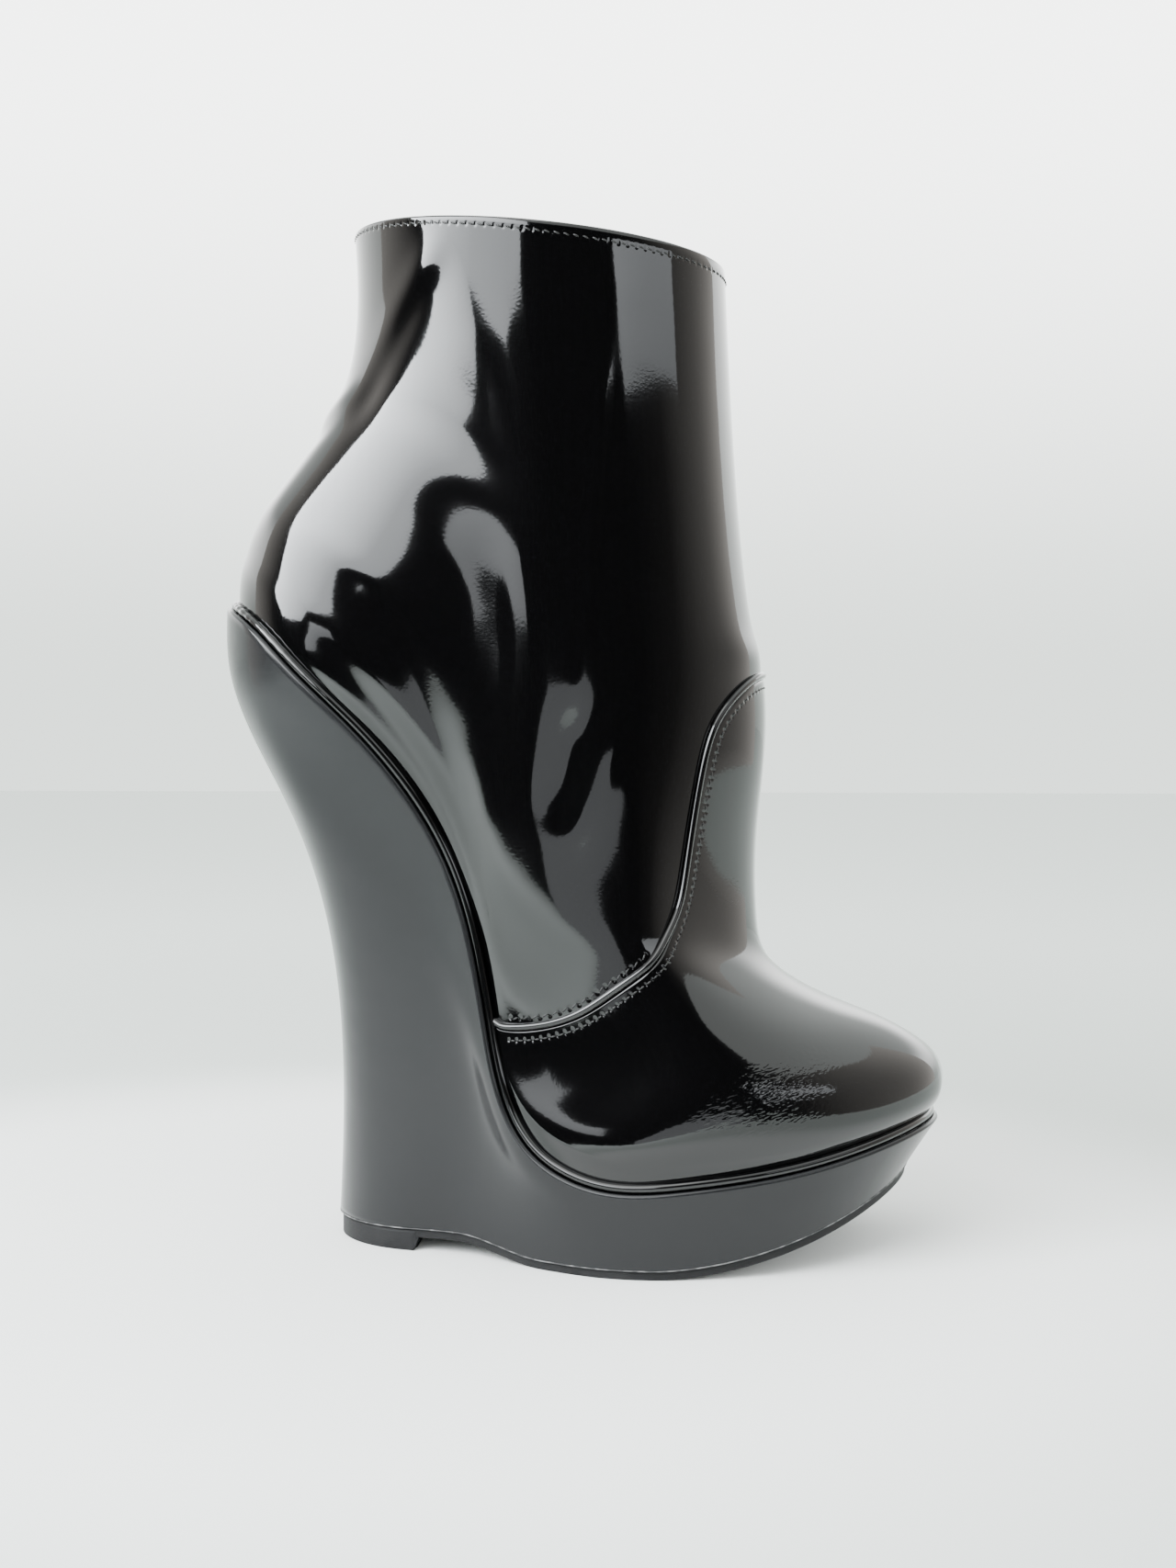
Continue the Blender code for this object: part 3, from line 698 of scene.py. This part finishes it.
# Below the collar they are counted both ways from the front, so that the count has no jump at the back
collar_stitch_count = 116
collar_v = 0.9895
collar_steps = 801
collar_t = np.linspace(0, 2 * np.pi, collar_steps)
collar_seam = last_skin(collar_t, collar_v)
collar_round = np.sum(np.linalg.norm(np.diff(collar_seam, axis=0), axis=1))
collar_pitch = collar_round / collar_stitch_count
stitches("collar_stitches", collar_seam, last_normal(collar_t, collar_v), collar_pitch, 0.0018, -16.0,
         0.00028)
place = stitch_place(shaft_points, collar_seam, collar_pitch)
place[:, 0] = np.abs(place[:, 0] - collar_stitch_count / 2)
seam_places.append(place)
set_attribute(shaft, "seam", "FLOAT_VECTOR", nearest_seam(seam_places))


# Welt cord: a thicker cord in patent leather, laid in the corner between the upper and the covered wedge,
# all the way round. It is crumpled around the heel, where it bends most.
welt_radius = 0.0012
lip_round = 0.0008


def welt_out(t):
    """How far out from the footbed's outline the cord lies: as far as it must to clear the leaning upper."""
    base = edge(t, 0.0, 0.0)
    out = unit(edge(t, 0.001, 0.0) - base)
    rise = unit(edge(t, 0.0, 0.001) - base)
    reach = welt_radius + gap / 2
    need = np.full(np.shape(t), reach)
    for v in np.linspace(0.0, 0.08, 41):
        d = last_skin(t, np.full(np.shape(t), v)) - base
        high = np.sum(d * rise, -1) - (welt_radius + gap)
        beside = np.clip(reach ** 2 - high ** 2, 0, None)
        need = np.where(beside > 0, np.maximum(need, np.sum(d * out, -1) + np.sqrt(beside)), need)
    return need


welt_count = 640
t = around(welt_count)
out = welt_out(t)
centre = edge(t, out - 0.0004, gap + welt_radius - 0.0002)
up = unit(edge(t, out, gap + 2 * welt_radius) - edge(t, out, gap + welt_radius))
side = np.cross(unit(np.roll(centre, -1, 0) - np.roll(centre, 1, 0)), up)
steps = np.arange(welt_count)
heel_share = np.exp(-(share(t) / 0.10) ** 2)
crumple = 1 - 0.10 * heel_share * (1 + np.sin(steps * 1.9 + 2 * np.sin(steps * 0.37)))
rings = cord_rings(centre, up, side, welt_radius * crumple[:, None], cord_sides)
welt_cord = make_piece("welt_cord", rings, ring_quads(welt_count, cord_sides, closed_rows=True), None,
                       piping_material)
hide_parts("welt_piping")


# Wedge and platform: light foam, carved in one and covered with patent leather that is pulled tight, rolled
# over the top edge and cut off along the sole. The cover's film is duller, because it is stretched.
outsole_thick = 0.0022
shank_lift = 0.0034
step_slope = 0.0014
flat_start = 0.0450
flat_end = 0.0720
toe_spring = 0.0175
toe_undercut = 0.0030
sole_inset = 0.0007

# u: down the back of the wedge, in: how far it is hollowed, as shares of the seat's overhang
wedge_back = np.array([
    (0.000, 0.000), (0.100, -0.090), (0.330, 0.250), (0.620, 0.400), (0.880, 0.160), (1.000, 0.000),
])


def sole_height(x):
    """Height of the sole's lower face: a smooth lift behind the flat spot and a rising curve before it."""
    toe_end = toe_x - toe_undercut
    shank = np.clip((flat_start - x) / (flat_start - heel_foot), 0, 1)
    spring = np.clip((x - flat_end) / (toe_end - flat_end), 0, None)
    return shank_lift * shank ** 2 * (3 - 2 * shank) + toe_spring * spring ** 1.8


def wedge_foot(t, inset):
    """Lower edge of the wedge in plan, moved inward: x by the table's share, y by the sine times
    half-width."""
    def outline(a):
        """The same edge, not yet moved inward."""
        foot, low, curve = np.moveaxis(spline(footbed_rows[:, 0], footbed_rows[:, 5:8], share(a)), -1, 0)
        back = -heel_foot / 2 - sole_inset
        x = back + foot * (toe_x - toe_undercut + sole_inset - back)
        return np.stack([x, -np.sin(a) * low * ball_half + curve * swing], -1)
    d = outline(t + 0.001) - outline(t - 0.001)
    n = unit(np.stack([-d[..., 1], d[..., 0]], -1))
    return outline(t) + n * inset


def wedge_side(lip, foot, t, u):
    """Side of the wedge: straight from the lip at u 0 to the lower edge at u 1, hollowed in at the back."""
    p = lip * (1 - u) + foot * u
    p[..., 0] += spline(wedge_back[:, 0], wedge_back[:, 1], u)[..., 0] * seat_overhang * (1 - share(t)) ** 2.5
    return p


def cover_leather():
    """Patent leather pulled over the wedge: the same film, blurred by stretching, with slow dents and a
    cloudy roughness."""
    material, shader, nodes, links = shader_of("stretched patent leather", (0.006, 0.0062, 0.0068), 0.20)
    shader.inputs["IOR"].default_value = 1.34
    shader.inputs["Coat Weight"].default_value = 0.10
    shader.inputs["Coat Roughness"].default_value = 0.10
    shader.inputs["Coat IOR"].default_value = 1.5
    grain = noise(nodes, links, 1100.0, 2.0)
    dents = noise(nodes, links, 45.0, 2.0)
    cloud = noise(nodes, links, 25.0, 3.0)
    fine = bump(nodes, links, grain.outputs["Fac"], 0.00002, 0.35)
    soft = bump(nodes, links, dents.outputs["Fac"], 0.0003, 1.0, fine)
    links.new(soft.outputs["Normal"], shader.inputs["Normal"])
    links.new(soft.outputs["Normal"], shader.inputs["Coat Normal"])
    spread = nodes.new("ShaderNodeMapRange")
    spread.inputs["To Min"].default_value = 0.16
    spread.inputs["To Max"].default_value = 0.26
    links.new(cloud.outputs["Fac"], spread.inputs["Value"])
    links.new(spread.outputs["Result"], shader.inputs["Roughness"])
    return material


wedge_count = 420
wedge_rows = 110
t = around(wedge_count)
lip_out = welt_out(t) + welt_radius + gap
lip = edge(t, lip_out, -lip_round)
plan = wedge_foot(t, 0.0)
foot = np.concatenate([plan, sole_height(plan[:, :1]) + outsole_thick + gap], -1)
side_rows = [wedge_side(lip, foot, t, u) for u in np.linspace(1, 0.01, wedge_rows)]
lip_rows = [edge(t, lip_out - lip_round * (1 - np.cos(a)), -lip_round * (1 - np.sin(a)) + 0.0002 * np.sin(a))
            for a in np.radians([0, 18, 36, 54, 72, 90])]
top_rows = [edge(t, lip_out - d, -0.0002) for d in (0.0016, 0.0030)]
bottom_rows = [np.concatenate([wedge_foot(t, d), side_rows[0][:, 2:] + h], 1)
               for d, h in ((0.0020, -0.0001), (0.0004, -0.0002))]
loops = bottom_rows + side_rows + lip_rows + top_rows
bottom_quads, bottom_tris = cap(0, wedge_count, False)
top_quads, top_tris = cap((len(loops) - 1) * wedge_count, wedge_count, True)
wedge = make_piece("wedge_cover", np.concatenate(loops),
                   np.concatenate([ring_quads(len(loops), wedge_count), bottom_quads, top_quads]),
                   np.concatenate([bottom_tris, top_tris]), cover_leather())
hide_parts("wedge_platform")


# Cut edge of the cover: where the leather is trimmed along the sole its raw fibres show as a thin line,
# stained black but worn pale in places.
def raw_edge():
    """Raw leather: black stain with pale fibres where a fine noise is high, and no gloss."""
    material, shader, nodes, links = shader_of("raw leather edge", (0.02, 0.02, 0.02), 0.85)
    worn = noise(nodes, links, 420.0, 4.0)
    ramp = nodes.new("ShaderNodeValToRGB")
    ramp.color_ramp.elements[0].position = 0.45
    ramp.color_ramp.elements[0].color = (0.030, 0.030, 0.031, 1)
    ramp.color_ramp.elements[1].position = 0.72
    ramp.color_ramp.elements[1].color = (0.17, 0.17, 0.17, 1)
    links.new(worn.outputs["Fac"], ramp.inputs["Fac"])
    links.new(ramp.outputs["Color"], shader.inputs["Base Color"])
    fine = bump(nodes, links, worn.outputs["Fac"], 0.0002, 0.8)
    links.new(fine.outputs["Normal"], shader.inputs["Normal"])
    return material


edge_radius = 0.00020
edge_sides = 8
plan = wedge_foot(t, 0.00012)
centre = np.concatenate([plan, sole_height(plan[:, :1]) + outsole_thick + gap / 2], -1)
up = np.tile([0.0, 0.0, 1.0], (wedge_count, 1))
side = unit(np.cross(unit(np.roll(centre, -1, 0) - np.roll(centre, 1, 0)), up))
make_piece("cover_cut_edge", cord_rings(centre, up, side, edge_radius, edge_sides),
           ring_quads(wedge_count, edge_sides, closed_rows=True), None, raw_edge())


# Outsole: black rubber glued under the whole wedge, with the heel's step moulded on. Its edge is ground,
# which leaves fine scratches along it.
def sole_rubber():
    """Black rubber: ground edge as fine noise drawn out along the sole, dull and slightly worn to grey."""
    material, shader, nodes, links = shader_of("black rubber", (0.008, 0.008, 0.009), 0.6)
    shader.inputs["Specular IOR Level"].default_value = 0.25
    ground = noise(nodes, links, 1800.0, 4.0, (0.4, 0.4, 1.6))
    worn = noise(nodes, links, 140.0, 5.0)
    fine = bump(nodes, links, ground.outputs["Fac"], 0.00015, 0.6)
    links.new(fine.outputs["Normal"], shader.inputs["Normal"])
    ramp = nodes.new("ShaderNodeValToRGB")
    ramp.color_ramp.elements[0].position = 0.35
    ramp.color_ramp.elements[0].color = (0.003, 0.003, 0.0035, 1)
    ramp.color_ramp.elements[1].position = 0.75
    ramp.color_ramp.elements[1].color = (0.008, 0.008, 0.0085, 1)
    links.new(worn.outputs["Fac"], ramp.inputs["Fac"])
    links.new(ramp.outputs["Color"], shader.inputs["Base Color"])
    return material


sole_count = 480
t = around(sole_count)
half = sole_count // 2
plan = wedge_foot(t, sole_inset)
last = int(np.argmin(np.abs(plan[:half, 0] - heel_foot / 2)))
heel = np.minimum(np.arange(sole_count), sole_count - np.arange(sole_count)) <= last


def sole_loop(inset, rise):
    """Loop of the sole's lower face, moved inward and up, with its points snapped to the heel's step."""
    p = wedge_foot(t, sole_inset + inset)
    x = p[:, 0].copy()
    x[[last, sole_count - last]] = heel_foot / 2
    x[[last + 1, sole_count - last - 1]] = heel_foot / 2 + step_slope
    return np.stack([x, p[:, 1], np.where(heel, 0.0, sole_height(x)) + rise], -1)


upper_edge = np.concatenate([plan, sole_height(plan[:, :1]) + outsole_thick], 1)
inner_top = wedge_foot(t, sole_inset + 0.003)
loops = [sole_loop(0.0040, 0.0), sole_loop(0.0003, 0.0), sole_loop(0.00006, 0.0001), sole_loop(0.0, 0.0003)]
loops += [loops[-1] * (1 - w) + upper_edge * w for w in (0.25, 0.5, 0.75, 0.96)]
loops.append(np.concatenate([inner_top, upper_edge[:, 2:] + 0.0001], 1))
bottom_quads, bottom_tris = cap(0, sole_count, False)
top_quads, top_tris = cap((len(loops) - 1) * sole_count, sole_count, True)
outsole = make_piece("outsole_rubber", np.concatenate(loops),
                     np.concatenate([ring_quads(len(loops), sole_count), bottom_quads, top_quads]),
                     np.concatenate([bottom_tris, top_tris]), sole_rubber())
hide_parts("outsole")


# Floor and light: a pale floor with a painted pool of light around the boot, in a plain pale surround. Soft
# panels stand around the boot, out of the camera's sight, with a dark screen between them, which black patent
# leather needs to show its form.
def stage_card(name, points, quads, colour):
    """Matt card of one colour from points and four-cornered faces."""
    material = bpy.data.materials.new(name)
    material.use_nodes = True
    shader = material.node_tree.nodes["Principled BSDF"]
    shader.inputs["Base Color"].default_value = (*colour, 1.0)
    shader.inputs["Roughness"].default_value = 0.9
    shader.inputs["Specular IOR Level"].default_value = 0.1
    mesh = bpy.data.meshes.new(name)
    mesh.from_pydata([tuple(q) for q in points], [], [tuple(q) for q in quads])
    mesh.materials.append(material)
    card = bpy.data.objects.new(name, mesh)
    bpy.context.scene.collection.objects.link(card)
    return card


def glowing_card(name, points, quads, colour, glow):
    """Black card that the camera doesn't see, with a glow of that colour and of a strength per point."""
    card = stage_card(name, points, quads, (0.001, 0.001, 0.001))
    set_attribute(card, "glow", "FLOAT", glow)
    nodes = card.data.materials[0].node_tree.nodes
    reader = nodes.new("ShaderNodeAttribute")
    reader.attribute_name = "glow"
    shader = nodes["Principled BSDF"]
    shader.inputs["Emission Color"].default_value = (*colour, 1.0)
    card.data.materials[0].node_tree.links.new(reader.outputs["Fac"], shader.inputs["Emission Strength"])
    card.visible_camera = False
    card.visible_shadow = False
    return card


def towards(azimuth, elevation):
    """Direction from the boot, from degrees around it off the front and degrees above level."""
    a = np.radians(azimuth)
    e = np.radians(elevation)
    return np.stack([np.sin(a) * np.cos(e), -np.cos(a) * np.cos(e), np.sin(e)], -1)


floor_half = 4.0
floor = stage_card("floor", [(-floor_half, -floor_half, 0), (floor_half, -floor_half, 0),
                             (floor_half, floor_half, 0), (-floor_half, floor_half, 0)], [(0, 1, 2, 3)],
                   (0.72, 0.73, 0.72))
nodes = floor.data.materials[0].node_tree.nodes
links = floor.data.materials[0].node_tree.links
# Painted light on the floor: its colour is lightest within 0.16 m of the boot as a painted pool of light,
# falls to painted shade at 0.29 m and is a little lighter again by 0.9 m
place = nodes.new("ShaderNodeTexCoord")
far = nodes.new("ShaderNodeVectorMath")
far.operation = "LENGTH"
painted_light_pool = nodes.new("ShaderNodeValToRGB")
painted_light_pool.color_ramp.interpolation = "EASE"
painted_light_pool.color_ramp.elements[0].position = 0.16
painted_light_pool.color_ramp.elements[0].color = (0.72, 0.73, 0.72, 1)
painted_light_pool.color_ramp.elements[1].position = 0.29
painted_light_pool.color_ramp.elements[1].color = (0.49, 0.52, 0.50, 1)
far_floor = painted_light_pool.color_ramp.elements.new(0.9)
far_floor.color = (0.60, 0.635, 0.615, 1)
links.new(place.outputs["Object"], far.inputs[0])
links.new(far.outputs["Value"], painted_light_pool.inputs["Fac"])
links.new(painted_light_pool.outputs["Color"], nodes["Principled BSDF"].inputs["Base Color"])

# Dark screen: bent round the front and laid on the floor before it, seen in the gloss alone.
# azimuth from the front, glow
dark_tones = np.array([
    (-98, 2.00), (-85, 1.40), (-76, 0.80), (-68, 0.10), (-60, 0.03), (0, 0.02), (40, 0.02), (60, 0.12),
    (80, 0.60), (100, 1.00), (115, 1.50), (128, 2.00),
])
dark_count = 48
dark_reach = 1.35
dark_height = 1.15
dark_above_floor = 0.002
dark_floor_front = -0.96
dark_floor_share = 0.9
dark_floor_glow = 0.03
boot_middle = np.array([0.04, 0.0, 0.13])
azimuths = np.linspace(dark_tones[0, 0], dark_tones[-1, 0], dark_count)
screen_foot = towards(azimuths, np.zeros(dark_count)) * dark_reach
screen_foot += (boot_middle[0], 0.0, dark_above_floor)
screen_top = screen_foot + (0.0, 0.0, dark_height)
screen_near = np.stack([screen_foot[:, 0] * dark_floor_share, np.minimum(dark_floor_front, screen_foot[:, 1]),
                        screen_foot[:, 2]], -1)
tone = np.interp(azimuths, dark_tones[:, 0], dark_tones[:, 1])
dark_screen = glowing_card("dark_screen", np.concatenate([screen_near, screen_foot, screen_top]),
                           ring_quads(3, dark_count, closed_count=False), (1.0, 0.96, 0.9),
                           np.concatenate([np.minimum(tone, dark_floor_glow), tone, tone]))
dark_screen.visible_diffuse = False
dark_screen.visible_transmission = False
dark_screen.visible_volume_scatter = False

# Pale surround: brightest above eye level
world = bpy.data.worlds.new("pale surround")
bpy.context.scene.world = world
world.use_nodes = True
nodes = world.node_tree.nodes
links = world.node_tree.links
place = nodes.new("ShaderNodeTexCoord")
parts = nodes.new("ShaderNodeSeparateXYZ")
ramp = nodes.new("ShaderNodeValToRGB")
ramp.color_ramp.interpolation = "EASE"
ramp.color_ramp.elements[0].position = 0.02
ramp.color_ramp.elements[0].color = (0.345, 0.375, 0.357, 1)
ramp.color_ramp.elements[1].position = 0.34
ramp.color_ramp.elements[1].color = (0.95, 0.97, 0.96, 1)
overhead = ramp.color_ramp.elements.new(0.52)
overhead.color = (0.38, 0.40, 0.39, 1)
links.new(place.outputs["Generated"], parts.inputs["Vector"])
links.new(parts.outputs["Z"], ramp.inputs["Fac"])
links.new(ramp.outputs["Color"], nodes["Background"].inputs["Color"])
nodes["Background"].inputs["Strength"].default_value = 5.5

# Soft panel overhead, turned to the boot: a square, with its power in watts per square metre
above_azimuth = -20.0
above_elevation = 62.0
above_reach = 1.6
above_width = 0.9
above_power = 12.0
above_data = bpy.data.lights.new("panel_above", "AREA")
above_data.size = above_width
above_data.energy = above_power * above_width ** 2
above = bpy.data.objects.new("panel_above", above_data)
above.location = boot_middle + towards(above_azimuth, above_elevation) * above_reach
above.rotation_euler = (np.radians(90 - above_elevation), 0.0, np.radians(above_azimuth))
above.visible_camera = False
bpy.context.scene.collection.objects.link(above)

# Soft panels around the boot: for each corner its azimuth from the front, its elevation and its glow
left_corners = np.array([
    (-76, 40, 40), (-72, 29, 40), (-64, 15, 34), (-58, 9.5, 24), (-44, 8.5, 10), (-41, 12.5, 10),
    (-24, 12.5, 8), (-18, 15, 8), (-9, 17, 8), (-3, 26, 9), (-3, 40, 10),
])
low_corners = np.array([(-40, 2.5, 4), (-29.5, 3, 3), (-29.5, 7, 4), (-40, 8, 6)])
right_corners = np.array([(38, 15, 3.5), (78, 17, 2.5), (80, 24, 3.5), (39, 22, 5.0)])
floor_corners = np.array([(-20, -7, 1.7), (28, -7, 1.7), (34, 1.5, 1.5), (22, 2.5, 1.5), (-10, 1.0, 1.7),
                          (-20, -3, 1.7)])
panel_reach = 1.2
for name, corners in (("panel_left", left_corners), ("panel_low", low_corners),
                      ("panel_right", right_corners), ("panel_floor", floor_corners)):
    glowing_card(name, boot_middle + panel_reach * towards(corners[:, 0], corners[:, 1]),
                 [tuple(range(len(corners)))], (0.93, 0.97, 1.0), corners[:, 2])
